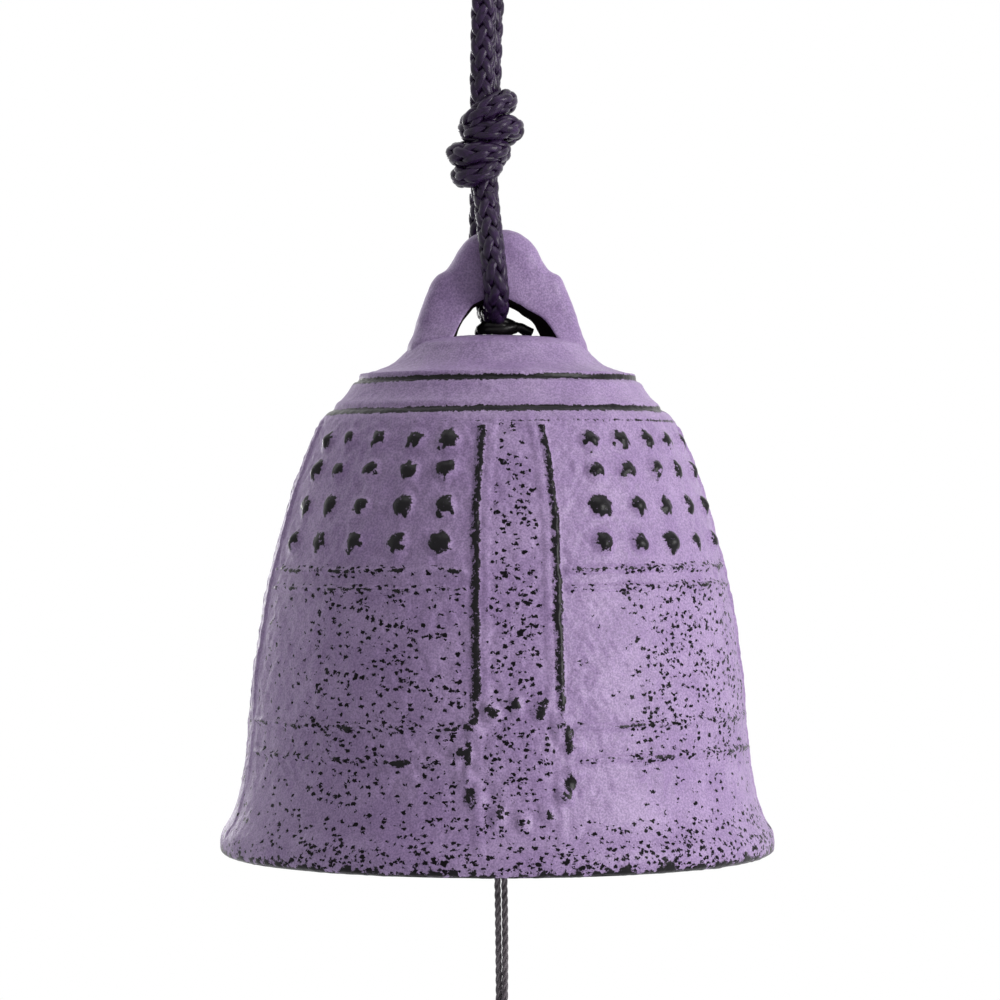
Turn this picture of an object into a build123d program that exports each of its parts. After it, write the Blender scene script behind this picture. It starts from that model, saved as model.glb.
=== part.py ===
# Furin: a small cast-iron wind bell in the shape of a temple bell, on a knotted hanging cord.
# Inside hangs a clapper on a thin doubled string, and a paper strip below it catches the wind.
# The frame: the hook bears on the loop at the origin, Z is up, the bell's front looks along -Y.

import math
import os

from build123d import *

# Casting: outside sizes, from the rim up
rim_diameter = 66.0
rim_flare = 2.3
lip_height = 2.2
lip_round = 0.6
waist_height = 7.5
body_fall = 45.1
shoulder_diameter = 40.2
band_rise = 4.4
crown_flare_diameter = 32.6
crown_rise = 4.7
crown_edge_diameter = 20.6
crown_dome = 1.0
flare_sag = 1.1
step_height = 0.7
step_width = 0.8
wall = 3.0
crown_thickness = 6.2

# Casting: the ear, an arch that stands on the crown with a window for the cord
ear_rise = 12.5
ear_thickness = 7.0
bar_share = 0.64
sill_share = 0.104

# Casting: raised ornament
boss_diameter = 2.2
boss_height = 0.75
boss_spacing_angle = 11.7
boss_columns = 5
boss_turn_angle = 2.2
rib_width = 0.9
rib_height = 0.45
rib_angle = 9.6
ridge_radius = 0.42
roundel_radius = 6.45
roundel_height = 12.6
seat_diameter = 7.4
seat_height = 0.55
petal_diameter = 2.2
petal_height = 0.6
petal_count = 14
side_count = 4

# Hanging cord
cord_diameter = 3.2
hang_drop = 50.0
knot_top_drop = 32.35
knot_length = 12.5
knot_ring_radius = 3.25
knot_core_diameter = 5.4
knot_offset = 1.5
knot_tilt = 24.0

# Clapper string, clapper and paper strip
string_diameter = 1.5
strand_diameter = 0.8
stop_knot_diameter = 4.0
stop_knot_sink = 1.45
tail_length = 3.4
tail_rise = 0.75
neck_length = 0.8
clapper_diameter = 17.0
clapper_thickness = 5.0
clapper_round = 1.8
clapper_height = 14.0
clapper_knot_diameter = 3.2
tail_string_length = 47.0
catcher_knot_diameter = 2.8
paper_width = 36.0
paper_length = 115.0
paper_thickness = 0.5
paper_hole_diameter = 4.0
paper_hole_inset = 5.0
paper_drop = 3.5

# How finely the outline is searched for a height
search_step = 1e-9

# Fits: a small gap between pieces that turn on each other, and a looser one round a string
turn_gap = 0.05
string_gap = 0.45

# The body's outline between shoulder and waist, as shares of the fall and of the widening
body_shares = [(0.08, 0.19), (0.185, 0.37), (0.30, 0.52), (0.46, 0.69), (0.68, 0.84)]
# The same for the hollow, which starts lower than the shoulder
hollow_shares = [(0.12, 0.25), (0.26, 0.46), (0.46, 0.68), (0.70, 0.86)]
# The ear's outline: angle, outer reach as a share of the arch's, inner reach of the window's
ear_shares = [
    (-24.0, 0.985, 1.90),
    (-1.0, 0.865, 1.52),
    (22.0, 0.82, 1.17),
    (45.0, 0.80, 1.0),
    (67.5, 0.915, 1.0),
    (90.0, 1.0, 1.0),
]
# Rows of bosses, and horizontal ridges, as shares of the fall from shoulder to waist
boss_row_shares = (0.084, 0.16, 0.248, 0.341)
ridge_shares = (0.406, 0.459, 0.785, 0.86)
rib_span_shares = (0.025, 0.5, 0.97)
# The sloped part of each step on the crown, the band's hollowing, and where the vault meets the ceiling
step_slope_share = 0.25
band_sag_share = 0.25
vault_share = 0.72
# The hanging knot's two wraps: how far each stands off the knot's middle, along it and to the left
wrap_rise_share = 0.167
wrap_aside_shares = (0.5, 1.4)
# The stop knot's seat, and how much of a run of cord a bend may take
seat_floor_share = 0.25
bend_share = 0.45

# Where the hanging cord runs: the loop over the hook, and the sling round the ear's bar
hanging_loop_route = [
    (-1.9, -1.68, -32.3),
    (-1.7, -1.7, -21.0),
    (-1.6, -5.6, -8.0),
    (-1.0, -3.9, 1.6),
    (1.0, 3.9, 1.6),
    (1.2, 5.6, -8.0),
    (-0.7, 1.7, -21.0),
    (-0.9, 1.68, -32.3),
]
bell_sling_route = [
    (-1.55, -2.05, -45.72),
    (-1.1, -6.7, -53.4),
    (-0.35, -5.05, -58.65),
    (-0.5, 0.0, -60.75),
    (-0.9, 5.1, -58.65),
    (-1.5, 6.8, -53.4),
    (-1.65, 2.05, -45.72),
]
# The loop that goes from the lowest knot through the paper's hole, from the knot's centre
paper_loop_shape = [
    (0.0, -0.62, -1.45),
    (0.0, -1.35, -4.3),
    (0.0, -0.95, -6.92),
    (0.0, 0.95, -6.92),
    (0.0, 1.35, -4.3),
    (0.0, 0.62, -1.45),
]

# Heights above the rim and radii that follow from the sizes above
shoulder_height = waist_height + body_fall
crown_flare_height = shoulder_height + band_rise
crown_height = crown_flare_height + crown_rise
casting_height = crown_height + ear_rise
window_top_height = casting_height - bar_share * ear_rise
ear_centre_height = crown_height + sill_share * ear_rise
ceiling_height = crown_height - crown_thickness
rim_z = -(hang_drop + casting_height)
rim_radius = rim_diameter / 2
waist_radius = rim_radius - rim_flare
shoulder_radius = shoulder_diameter / 2
crown_edge_radius = crown_edge_diameter / 2
crown_flare_radius = crown_flare_diameter / 2
band_top = (crown_flare_radius + step_width, crown_flare_height - step_height)
band_foot = (shoulder_radius - step_width, shoulder_height + step_height)
body_widening = waist_radius - shoulder_radius
string_radius = string_diameter / 2
strand_radius = strand_diameter / 2
throat_radius = string_radius + string_gap
stop_knot_radius = stop_knot_diameter / 2
stop_knot_z = rim_z + crown_height - stop_knot_sink
neck_top_z = stop_knot_z - stop_knot_radius - turn_gap
pivot_z = neck_top_z - neck_length - turn_gap - string_radius
clapper_z = rim_z + clapper_height
clapper_bottom_z = clapper_z - clapper_thickness / 2
clapper_knot_radius = clapper_knot_diameter / 2
clapper_knot_z = clapper_bottom_z - math.sqrt(clapper_knot_radius**2 - throat_radius**2) - turn_gap
catcher_knot_radius = catcher_knot_diameter / 2
tail_top_z = clapper_knot_z - clapper_knot_radius - turn_gap
tail_bottom_z = tail_top_z - tail_string_length
catcher_knot_z = tail_bottom_z - turn_gap - catcher_knot_radius
paper_top_z = catcher_knot_z - paper_drop
hole_z = paper_top_z - paper_hole_inset


def cord_radii(route):
    """Bend radius at each inner point: as large as the two runs that meet there allow."""
    radii = []
    for before, here, after in zip(route, route[1:], route[2:]):
        into = Vector(*here) - Vector(*before)
        out = Vector(*after) - Vector(*here)
        half_turn = math.radians(into.get_angle(out)) / 2
        radii.append(bend_share * min(into.length, out.length) / math.tan(half_turn))
    return radii


def casting_point(radius, height):
    """A point of the casting's half section, from its radius and its height above the rim."""
    return (radius, rim_z + height)


os.makedirs("parts", exist_ok=True)

# Bell casting: half section, outside from the crown to the rim, then the hollow back up
with BuildPart() as casting_shell:
    with BuildSketch(Plane.XZ):
        with BuildLine():
            crown_top = casting_point(0, crown_height)
            crown_edge = casting_point(crown_edge_radius, crown_height - crown_dome)
            flare_foot = casting_point(crown_flare_radius, crown_flare_height)
            ThreePointArc(
                crown_top,
                casting_point(crown_edge_radius / 2, crown_height - crown_dome / 4),
                crown_edge,
            )
            SagittaArc(crown_edge, flare_foot, -flare_sag)
            flare_edge = casting_point(crown_flare_radius, band_top[1] + step_slope_share * step_height)
            shoulder_edge = casting_point(band_foot[0], shoulder_height + step_slope_share * step_height)
            Line(flare_foot, flare_edge)
            Line(flare_edge, casting_point(*band_top))
            SagittaArc(casting_point(*band_top), casting_point(*band_foot), -band_sag_share * flare_sag)
            Line(casting_point(*band_foot), shoulder_edge)
            Line(shoulder_edge, casting_point(shoulder_radius, shoulder_height))
            body_line = Spline(
                casting_point(shoulder_radius, shoulder_height),
                *[
                    casting_point(shoulder_radius + out * body_widening, shoulder_height - down * body_fall)
                    for down, out in body_shares
                ],
                casting_point(waist_radius, waist_height),
            )
            lip_line = TangentArc(
                body_line @ 1,
                casting_point(rim_radius, lip_height),
                tangent=body_line % 1,
            )
            Line(casting_point(rim_radius, lip_height), casting_point(rim_radius, lip_round))
            Line(casting_point(rim_radius, lip_round), casting_point(rim_radius - lip_round, 0))
            Line(casting_point(rim_radius - lip_round, 0), casting_point(waist_radius - wall / 2, 0))
            Line(
                casting_point(waist_radius - wall / 2, 0),
                casting_point(waist_radius - wall, waist_height),
            )
            hollow_top = shoulder_height - wall
            hollow_fall = hollow_top - waist_height
            hollow_line = Spline(
                casting_point(waist_radius - wall, waist_height),
                *[
                    casting_point(
                        shoulder_radius - wall + out * body_widening,
                        hollow_top - down * hollow_fall,
                    )
                    for down, out in reversed(hollow_shares)
                ],
                casting_point(shoulder_radius - wall, hollow_top),
            )
            vault_line = TangentArc(
                hollow_line @ 1,
                casting_point((shoulder_radius - wall) * vault_share, ceiling_height),
                tangent=hollow_line % 1,
            )
            Line(vault_line @ 1, casting_point(0, ceiling_height))
            Line(casting_point(0, ceiling_height), crown_top)
        make_face()
    revolve(axis=Axis.Z)

# The body's outline is also read back, so that the ornament sits on it


def outline_point(height):
    """Radius and outward normal of the body's outside at a height above the rim."""
    edge = body_line if height > waist_height else lip_line
    low, high = 0.0, 1.0
    while high - low > search_step:
        middle = (low + high) / 2
        if (edge @ middle).Y - rim_z > height:
            low = middle
        else:
            high = middle
    spot = edge @ low
    along = edge % low
    return spot.X, Vector(-along.Y, along.X, 0)


def on_body(azimuth, height, sink):
    """A plane on the casting's outside, facing out, at an azimuth and a height, sunk into the wall."""
    radius, normal = outline_point(height)
    turn = math.radians(azimuth)
    reach = radius - normal.X * sink
    level = rim_z + height - normal.Y * sink
    return Plane(
        origin=(reach * math.cos(turn), reach * math.sin(turn), level),
        x_dir=(-math.sin(turn), math.cos(turn), 0),
        z_dir=(normal.X * math.cos(turn), normal.X * math.sin(turn), normal.Y),
    )


def cap_radius(diameter, height):
    """Radius of the ball whose cap has this base diameter and this height."""
    return ((diameter / 2) ** 2 + height**2) / (2 * height)


def body_height(share):
    """Height above the rim at a share of the fall from shoulder to waist."""
    return shoulder_height - share * body_fall


# Ear: oval sections set round the arch, from inside the crown on one side to the other side
arch_reach = casting_height - ear_centre_height
window_reach = window_top_height - ear_centre_height
ear_sections = ear_shares + [(180 - a, outer, inner) for a, outer, inner in reversed(ear_shares[:-1])]
with BuildPart() as ear_arch:
    for angle, outer_share, inner_share in ear_sections:
        turn = math.radians(angle)
        outer_reach = outer_share * arch_reach
        inner_reach = inner_share * window_reach
        middle_reach = (outer_reach + inner_reach) / 2
        section_plane = Plane(
            origin=(
                middle_reach * math.cos(turn),
                0,
                rim_z + ear_centre_height + middle_reach * math.sin(turn),
            ),
            x_dir=(math.cos(turn), 0, math.sin(turn)),
            z_dir=(-math.sin(turn), 0, math.cos(turn)),
        )
        reach = (outer_reach - inner_reach) / 2
        depth = ear_thickness / 2
        slant = math.sqrt(0.5)
        with BuildSketch(section_plane):
            with BuildLine():
                Spline(
                    (reach, 0),
                    (reach * slant, depth * slant),
                    (0, depth),
                    (-reach * slant, depth * slant),
                    (-reach, 0),
                    tangents=[(0, 1), (0, -1)],
                )
                Spline(
                    (-reach, 0),
                    (-reach * slant, -depth * slant),
                    (0, -depth),
                    (reach * slant, -depth * slant),
                    (reach, 0),
                    tangents=[(0, -1), (0, 1)],
                )
            make_face()
    loft()

# One upright rib of the bands that divide the panels
rib_heights = [body_height(share) for share in rib_span_shares]
rib_turn = math.degrees(rib_width / waist_radius)
with BuildPart() as band_rib:
    with BuildSketch(Plane.XZ):
        with BuildLine():
            rib_outside = Spline(
                *[casting_point(outline_point(h)[0] + rib_height, h) for h in rib_heights]
            )
            rib_inside = Spline(
                *[casting_point(outline_point(h)[0] - wall / 2, h) for h in rib_heights]
            )
            Line(rib_outside @ 0, rib_inside @ 0)
            Line(rib_outside @ 1, rib_inside @ 1)
        make_face()
    revolve(axis=Axis.Z, revolution_arc=rib_turn)

# The four short ridges that cross one panel, between the ribs
panel_turn = 360 / side_count - 2 * rib_angle
with BuildPart() as panel_ridges:
    with BuildSketch(Plane.XZ):
        for share in ridge_shares:
            ridge_height = body_height(share)
            with Locations(casting_point(outline_point(ridge_height)[0], ridge_height)):
                Circle(ridge_radius)
    revolve(axis=Axis.Z, revolution_arc=panel_turn)

# Where the bosses, the roundels' seats and their petals stand
boss_ball = cap_radius(boss_diameter, boss_height)
petal_ball = cap_radius(petal_diameter, petal_height)
boss_spots = []
for row_share in boss_row_shares:
    row_spots = []
    for side in range(side_count):
        for column in range(boss_columns):
            aside = (column - (boss_columns - 1) / 2) * boss_spacing_angle
            azimuth = (side + 0.5) * 360 / side_count + aside + boss_turn_angle
            row_spots.append(on_body(azimuth, body_height(row_share), boss_ball - boss_height))
    boss_spots.append(row_spots)
seat_spots = []
petal_spots = []
for front in (-90, 90):
    seat_spots.append(on_body(front, roundel_height, 0))
    for petal in range(petal_count):
        turn = 2 * math.pi * (petal + 0.5) / petal_count
        aside = math.degrees(roundel_radius * math.cos(turn) / waist_radius)
        level = roundel_height + roundel_radius * math.sin(turn)
        petal_spots.append(on_body(front + aside, level, petal_ball - petal_height))

with BuildPart() as bell_casting:
    add(casting_shell.part)
    add(ear_arch.part)
    with PolarLocations(0, side_count, start_angle=rib_angle - rib_turn / 2):
        add(band_rib.part)
    with PolarLocations(0, side_count, start_angle=-rib_angle - rib_turn / 2):
        add(band_rib.part)
    with PolarLocations(0, side_count, start_angle=rib_angle):
        add(panel_ridges.part)
    for row_spots in boss_spots:
        with Locations(*row_spots):
            Sphere(boss_ball)
    with Locations(*seat_spots):
        Cylinder(seat_diameter / 2, 2 * seat_height)
    with Locations(*petal_spots):
        Sphere(petal_ball)
    # Crown hole: a seat for the stop knot, a throat for the string, and a flare below it
    with BuildSketch(Plane.XZ):
        with BuildLine():
            seat_radius = stop_knot_radius + string_gap
            seat_floor_z = stop_knot_z - seat_floor_share * stop_knot_radius
            throat_top_z = stop_knot_z - stop_knot_radius + turn_gap
            Polyline(
                (0, rim_z + crown_height + crown_dome),
                (seat_radius, rim_z + crown_height + crown_dome),
                (seat_radius, seat_floor_z),
                (throat_radius, throat_top_z),
                (throat_radius, pivot_z),
                (throat_radius + string_radius, rim_z + ceiling_height - turn_gap),
                (0, rim_z + ceiling_height - turn_gap),
                close=True,
            )
        make_face()
    revolve(axis=Axis.Z, mode=Mode.SUBTRACT)
bell_casting.part.label = "bell_casting"
export_step(bell_casting.part, "parts/bell_casting.step")

# Hanging loop: the doubled cord from the knot up over the hook
hanging_loop_radii = cord_radii(hanging_loop_route)
print("hanging_loop bend radii", [round(r, 1) for r in hanging_loop_radii])
with BuildPart() as hanging_loop:
    with BuildLine() as loop_path:
        FilletPolyline(*hanging_loop_route, radius=hanging_loop_radii)
    with BuildSketch(Plane(origin=loop_path.line @ 0, z_dir=loop_path.line % 0)):
        Circle(cord_diameter / 2)
    sweep()
hanging_loop.part.label = "hanging_loop"
export_step(hanging_loop.part, "parts/hanging_loop.step")

# Hanging knot: two wraps drawn tight round the doubled cord, flat where the cord enters and leaves
knot_z = -(knot_top_drop + knot_length / 2)
with BuildPart() as hanging_knot:
    with Locations((-knot_offset, 0, knot_z)):
        Cylinder(knot_core_diameter / 2, knot_length)
    upper_wrap = (-knot_offset * wrap_aside_shares[0], 0, knot_z + wrap_rise_share * knot_length)
    lower_wrap = (-knot_offset * wrap_aside_shares[1], 0, knot_z - wrap_rise_share * knot_length)
    with Locations(Location(upper_wrap, (0, -knot_tilt, 0)), Location(lower_wrap, (0, knot_tilt / 2, 0))):
        Torus(knot_ring_radius, cord_diameter / 2)
    with Locations((-knot_offset, 0, knot_z)):
        Box(rim_diameter, rim_diameter, knot_length, mode=Mode.INTERSECT)
hanging_knot.part.label = "hanging_knot"
export_step(hanging_knot.part, "parts/hanging_knot.step")

# Bell sling: the cord from the knot through the ear's window and back up to the knot
bell_sling_radii = cord_radii(bell_sling_route)
print("bell_sling bend radii", [round(r, 1) for r in bell_sling_radii])
with BuildPart() as bell_sling:
    with BuildLine() as sling_path:
        FilletPolyline(*bell_sling_route, radius=bell_sling_radii)
    with BuildSketch(Plane(origin=sling_path.line @ 0, z_dir=sling_path.line % 0)):
        Circle(cord_diameter / 2)
    sweep()
bell_sling.part.label = "bell_sling"
export_step(bell_sling.part, "parts/bell_sling.step")

# Stop knot: sits in the crown's seat, with the string's two cut ends lying to one side
with BuildPart() as stop_knot:
    with Locations((0, 0, stop_knot_z)):
        Sphere(stop_knot_radius)
    with BuildLine() as tail_path:
        tail_z = rim_z + crown_height + strand_radius + turn_gap
        tail_start = (0, 0, stop_knot_z + stop_knot_radius - tail_rise)
        tail_bend = (stop_knot_radius, 0, tail_z)
        tail_end = (stop_knot_radius + tail_length / 2, 0, tail_z + turn_gap)
        FilletPolyline(tail_start, tail_bend, tail_end, radius=tail_length)
    with BuildSketch(Plane(origin=tail_path.line @ 0, z_dir=tail_path.line % 0)):
        Circle(strand_radius)
    sweep()
stop_knot.part.label = "stop_knot"
export_step(stop_knot.part, "parts/stop_knot.step")

# String neck: the short stretch in the throat, where the string twists
with BuildPart() as string_neck:
    with BuildSketch(Plane.XY.offset(neck_top_z)):
        Circle(string_radius)
    extrude(amount=-neck_length)
string_neck.part.label = "string_neck"
export_step(string_neck.part, "parts/string_neck.step")

# Clapper string: hangs from the throat down through the clapper, with a rounded top to swing on
clapper_string_end_z = clapper_knot_z + clapper_knot_radius + turn_gap
with BuildPart() as clapper_string:
    with BuildSketch(Plane.XY.offset(pivot_z)):
        Circle(string_radius)
    extrude(amount=clapper_string_end_z - pivot_z)
    with Locations((0, 0, pivot_z)):
        Sphere(string_radius)
clapper_string.part.label = "clapper_string"
export_step(clapper_string.part, "parts/clapper_string.step")

# Clapper: an iron disc with a rounded rim and a bore for the string
with BuildPart() as clapper:
    with BuildSketch(Plane.XY.offset(clapper_bottom_z)):
        Circle(clapper_diameter / 2)
    extrude(amount=clapper_thickness)
    fillet(clapper.edges(), clapper_round)
    with BuildSketch(Plane.XY.offset(clapper_bottom_z)):
        Circle(throat_radius)
    extrude(amount=clapper_thickness, mode=Mode.SUBTRACT)
clapper.part.label = "clapper"
export_step(clapper.part, "parts/clapper.step")

# Clapper knot: carries the clapper, and the string below swings from it
with BuildPart() as clapper_knot:
    with Locations((0, 0, clapper_knot_z)):
        Sphere(clapper_knot_radius)
clapper_knot.part.label = "clapper_knot"
export_step(clapper_knot.part, "parts/clapper_knot.step")

# Tail string: leaves the bell's mouth, taut under the paper's weight
with BuildPart() as tail_string:
    with BuildSketch(Plane.XY.offset(tail_top_z)):
        Circle(string_radius)
    extrude(amount=-tail_string_length)
tail_string.part.label = "tail_string"
export_step(tail_string.part, "parts/tail_string.step")

# Catcher knot: ends the string above the paper
with BuildPart() as catcher_knot:
    with Locations((0, 0, catcher_knot_z)):
        Sphere(catcher_knot_radius)
catcher_knot.part.label = "catcher_knot"
export_step(catcher_knot.part, "parts/catcher_knot.step")

# Paper loop: one strand from the knot through the paper's hole and back
paper_loop_route = [(x, y, catcher_knot_z + z) for x, y, z in paper_loop_shape]
paper_loop_radii = cord_radii(paper_loop_route)
print("paper_loop bend radii", [round(r, 1) for r in paper_loop_radii])
with BuildPart() as paper_loop:
    with BuildLine() as paper_loop_path:
        FilletPolyline(*paper_loop_route, radius=paper_loop_radii)
    with BuildSketch(Plane(origin=paper_loop_path.line @ 0, z_dir=paper_loop_path.line % 0)):
        Circle(strand_radius)
    sweep()
paper_loop.part.label = "paper_loop"
export_step(paper_loop.part, "parts/paper_loop.step")

# Paper strip: hangs from the loop and catches the wind
with BuildPart() as paper_strip:
    with BuildSketch(Plane.XZ):
        with Locations((0, paper_top_z - paper_length / 2)):
            Rectangle(paper_width, paper_length)
        with Locations((0, hole_z)):
            Circle(paper_hole_diameter / 2, mode=Mode.SUBTRACT)
    extrude(amount=paper_thickness / 2, both=True)
paper_strip.part.label = "paper_strip"
export_step(paper_strip.part, "parts/paper_strip.step")
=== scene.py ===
import math

import bpy
import numpy as np
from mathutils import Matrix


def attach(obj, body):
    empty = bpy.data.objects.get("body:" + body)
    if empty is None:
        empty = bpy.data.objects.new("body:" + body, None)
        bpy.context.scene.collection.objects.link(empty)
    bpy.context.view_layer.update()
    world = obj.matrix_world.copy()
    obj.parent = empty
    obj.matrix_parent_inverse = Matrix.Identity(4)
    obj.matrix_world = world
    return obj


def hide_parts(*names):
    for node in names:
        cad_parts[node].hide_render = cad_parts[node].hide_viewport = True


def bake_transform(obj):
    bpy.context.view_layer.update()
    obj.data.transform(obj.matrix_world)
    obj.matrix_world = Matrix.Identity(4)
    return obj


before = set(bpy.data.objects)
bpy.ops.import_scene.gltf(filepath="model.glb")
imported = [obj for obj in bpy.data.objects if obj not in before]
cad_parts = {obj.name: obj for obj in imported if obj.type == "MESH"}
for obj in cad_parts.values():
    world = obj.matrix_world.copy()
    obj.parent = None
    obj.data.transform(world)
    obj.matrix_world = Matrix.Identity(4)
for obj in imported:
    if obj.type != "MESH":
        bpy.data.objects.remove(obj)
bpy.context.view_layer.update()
mm = 0.001
scene = bpy.context.scene

# Studio: the bell hangs free in front of a white background, with a pale floor well below the paper.
# A long lens looks level from a little left of the front; the key light stands on the right.
camera_distance = 454.0 * mm
camera_turn = math.radians(-4.7)
camera_height = -82.2 * mm
camera_data = bpy.data.cameras.new("camera")
camera_data.sensor_width = 36.0
camera_data.lens = 136.8
camera_data.clip_start = 0.01
camera_data.shift_x = 0.0027
camera = bpy.data.objects.new("camera", camera_data)
camera.location = (
    camera_distance * math.sin(camera_turn),
    -camera_distance * math.cos(camera_turn),
    camera_height,
)
camera.rotation_euler = (math.pi / 2, 0.0, camera_turn)
scene.collection.objects.link(camera)
scene.camera = camera

floor_radius = 0.6
floor_height = -0.31
floor_sides = 96


def whole_turn(steps):
    """Even steps round a full circle, in radians."""
    return np.linspace(0.0, 2 * math.pi, steps, endpoint=False)


def revolved(radius, height, turns):
    """Points at a radius from the upright axis and at a height, for each turn about the axis."""
    return np.stack([radius * np.cos(turns), radius * np.sin(turns), height + 0 * turns], axis=-1)


def fill_node(tree, node, sockets):
    """Sets sockets of a shader node, each to a value or to a link from another node's output."""
    for title, value in sockets.items():
        if isinstance(value, bpy.types.NodeSocket):
            tree.links.new(value, node.inputs[title])
        else:
            node.inputs[title].default_value = value


def add_node(tree, kind, sockets, **settings):
    """A new shader node of a kind, with its settings and its sockets."""
    node = tree.nodes.new("ShaderNode" + kind)
    for title, value in settings.items():
        setattr(node, title, value)
    fill_node(tree, node, sockets)
    return node


def new_finish(name):
    """A new material, with its node tree and the tree's shader."""
    made = bpy.data.materials.new(name)
    made.use_nodes = True
    return made, made.node_tree, made.node_tree.nodes["Principled BSDF"]


floor_ring = revolved(floor_radius, floor_height, whole_turn(floor_sides))
floor_mesh = bpy.data.meshes.new("floor")
floor_mesh.from_pydata(floor_ring.tolist(), [], [list(range(floor_sides))])
floor = bpy.data.objects.new("floor", floor_mesh)
scene.collection.objects.link(floor)
floor_paint, floor_tree, floor_shader = new_finish("pale_floor")
fill_node(floor_tree, floor_shader, {"Base Color": (0.86, 0.86, 0.87, 1), "Roughness": 0.8})
floor_mesh.materials.append(floor_paint)


def area_light(name, place, target, size, power, colour):
    """A square soft light at a place, turned to face a target point."""
    light_data = bpy.data.lights.new(name, "AREA")
    light_data.shape = "SQUARE"
    light_data.size = size
    light_data.energy = power
    light_data.color = colour
    light = bpy.data.objects.new(name, light_data)
    gap = np.array(target) - np.array(place)
    flat = math.hypot(gap[0], gap[1])
    light.location = place
    light.rotation_euler = (math.pi / 2 + math.atan2(gap[2], flat), 0.0, math.atan2(-gap[0], gap[1]))
    scene.collection.objects.link(light)


bell_middle = (0.0, 0.0, -0.09)
area_light("key_light", (0.55, -0.38, 0.06), bell_middle, 0.35, 4.45, (1.0, 0.99, 0.985))
area_light("fill_light", (-0.5, -0.6, 0.15), bell_middle, 0.5, 0.08, (0.97, 0.98, 1.0))
area_light("edge_light", (-0.25, 0.72, -0.05), bell_middle, 0.12, 0.4, (1.0, 1.0, 1.0))
area_light("top_light", (0.10, -0.13, 0.58), bell_middle, 0.5, 1.5, (1.0, 1.0, 1.0))

sky_low = 0.14
sky_high = 1.55
sky_fade = (-0.2, 0.6)
world = bpy.data.worlds.new("studio")
world.use_nodes = True
scene.world = world
sky = world.node_tree
ray = add_node(sky, "LightPath", {}).outputs
seen = add_node(sky, "Math", {0: ray["Is Camera Ray"], 1: ray["Is Transmission Ray"]}, operation="MAXIMUM")
mirrored = add_node(sky, "Math", {0: seen.outputs[0], 1: ray["Is Glossy Ray"]}, operation="MAXIMUM")
seen_white = add_node(sky, "Background", {"Color": (1, 1, 1, 1), "Strength": 1.0})
sky_way = add_node(sky, "SeparateXYZ", {"Vector": add_node(sky, "TexCoord", {}).outputs["Generated"]})
sky_range = {"From Min": sky_fade[0], "From Max": sky_fade[1], "To Min": sky_low, "To Max": sky_high}
sky_level = add_node(sky, "MapRange", sky_range, interpolation_type="SMOOTHSTEP")
fill_node(sky, sky_level, {"Value": sky_way.outputs["Y"]})
soft_white = sky.nodes["Background"]
fill_node(sky, soft_white, {"Color": (0.97, 0.98, 1.0, 1), "Strength": sky_level.outputs["Result"]})
sky_sides = {"Fac": mirrored.outputs[0], 1: soft_white.outputs[0], 2: seen_white.outputs[0]}
sky_mix = add_node(sky, "MixShader", sky_sides)
fill_node(sky, sky.nodes["World Output"], {"Surface": sky_mix.outputs[0]})
scene.view_settings.view_transform = "Standard"

# Bell body: one iron casting in the shape of a temple bell, poured in a sand mould, so it has a
# fine grain. It is painted purple over black, and the paint is rubbed off bosses, ribs and edges.
rim_height = -124.2
crown_outline = [(2.2, 61.66), (6.0, 61.40), (9.2, 60.95), (10.3, 60.45), (10.75, 59.85)]
flare_outline = [(11.4, 59.2), (12.5, 58.25), (14.2, 57.45), (15.8, 57.05), (16.4, 56.95)]
step_outline = [(16.5, 56.6), (16.55, 56.15), (17.1, 55.9), (17.7, 55.0), (18.5, 54.0), (19.25, 53.35)]
shoulder_outline = [(19.4, 53.1), (19.5, 52.75), (20.1, 52.45)]
body_shares = [(0.08, 0.19), (0.185, 0.37), (0.30, 0.52), (0.46, 0.69), (0.68, 0.84), (1.0, 1.0)]
body_top = (20.1, 52.6)
body_foot = (30.7, 7.5)
lip_outline = [(31.25, 5.4), (31.85, 4.0), (32.6, 2.9), (32.95, 2.0), (33.0, 1.1), (32.85, 0.35), (32.3, 0.0)]
hollow_outline = [
    (31.0, 0.0), (29.3, 0.15), (28.5, 3.5), (27.7, 7.5), (26.9, 15.0), (26.2, 20.1), (24.3, 30.2),
    (22.0, 38.6), (19.75, 44.5), (17.1, 49.6), (15.2, 53.4), (12.3, 55.5), (7.0, 55.5), (2.2, 55.5),
]


def distances(line):
    """How far along a line each of its points is."""
    return np.concatenate([[0.0], np.cumsum(np.linalg.norm(np.diff(line, axis=0), axis=1))])


def even_steps(line, spacing):
    """The line's points read again at an even spacing along its length, with how far along each is."""
    length = distances(line)
    even = np.linspace(0.0, length[-1], max(int(round(length[-1] / spacing)), 2) + 1)
    return np.stack([np.interp(even, length, column) for column in line.T], axis=1), even


def through(points, spacing, fine_steps=4000):
    """A smooth line through given points: cubic pieces with the slope at a point taken from its
    neighbours (Catmull-Rom by chord length), read off at an even spacing along its length."""
    knots = np.array(points, float)
    chord = distances(knots)
    slopes = np.gradient(knots, chord, axis=0)
    fine = np.linspace(0.0, chord[-1], fine_steps)
    left = np.clip(np.searchsorted(chord, fine, side="right") - 1, 0, len(chord) - 2)
    width = (chord[left + 1] - chord[left])[:, None]
    t = (fine - chord[left])[:, None] / width
    line = (
        (2 * t**3 - 3 * t**2 + 1) * knots[left]
        + (t**3 - 2 * t**2 + t) * width * slopes[left]
        + (3 * t**2 - 2 * t**3) * knots[left + 1]
        + (t**3 - t**2) * width * slopes[left + 1]
    )
    return even_steps(line, spacing)[0]


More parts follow.
